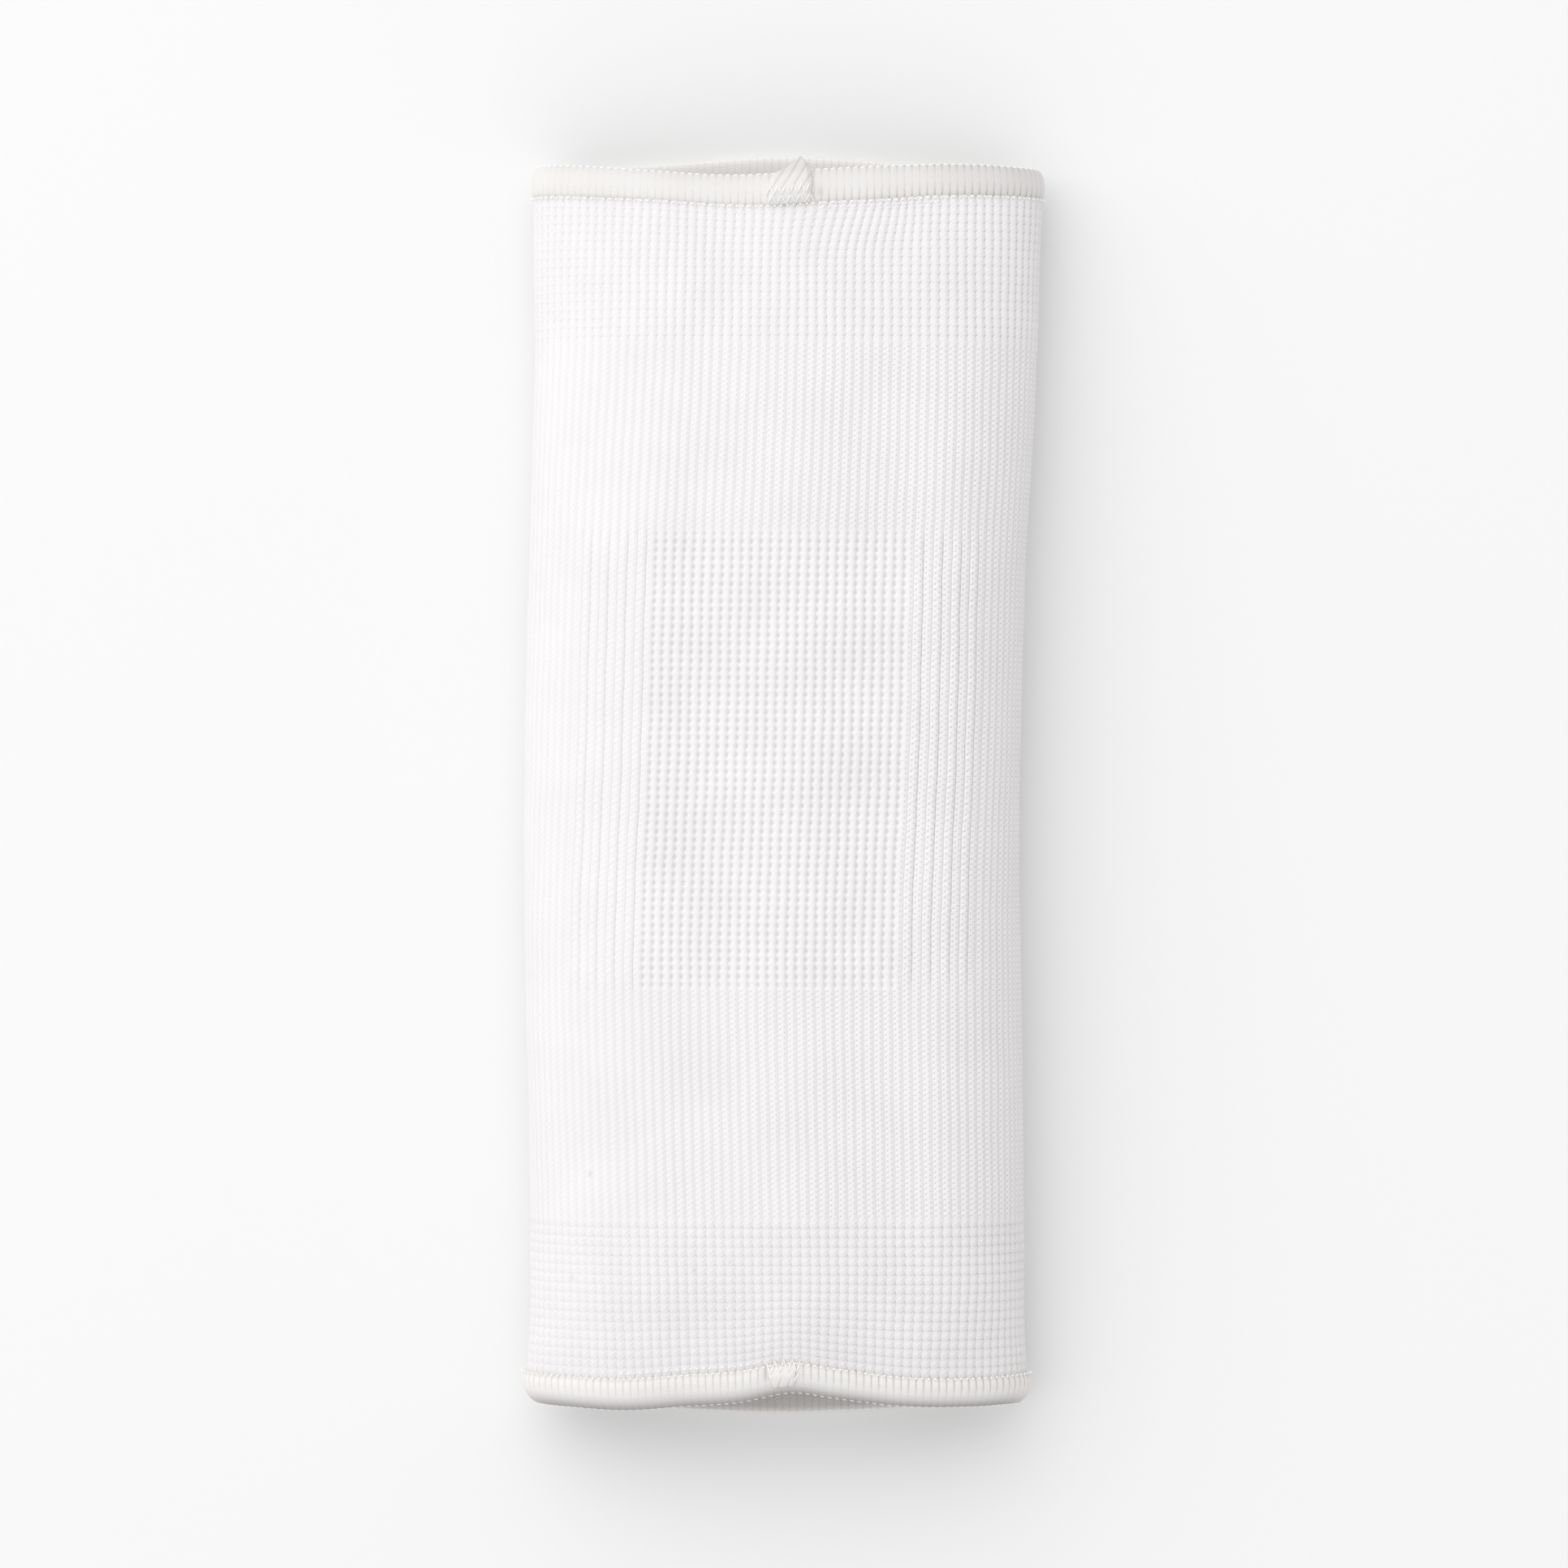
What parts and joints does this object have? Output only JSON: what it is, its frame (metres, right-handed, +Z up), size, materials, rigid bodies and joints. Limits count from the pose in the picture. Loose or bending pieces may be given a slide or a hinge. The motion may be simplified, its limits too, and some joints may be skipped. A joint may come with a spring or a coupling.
{
  "type": "knitted tubular knee pad",
  "caption": "White elastic knitted knee pad: an open tube with a padded front, an open-mesh window behind the knee between raised cords, and a ribbed elastic band at each rim.",
  "frame": {"origin": "middle of the underside of the object's box, on the surface that the pad lies on", "axes": "+X across the pad to the wearer's left when it lies with the back of the knee up and the thigh end away, +Y along the leg towards the thigh end, +Z up, out of the back of the knee"},
  "size_m": [0.1254, 0.303, 0.0384],
  "materials": {
    "rib_knit": "matt white cotton and elastane rib knit",
    "elastic_band": "matt off-white ribbed elastic band"
  },
  "bodies": {
    "root": {"knit_sleeve": "rib_knit", "upper_hem_band": "elastic_band", "lower_hem_band": "elastic_band", "upper_hem_overlap": "elastic_band", "lower_hem_overlap": "elastic_band"}
  },
  "joints": []
}
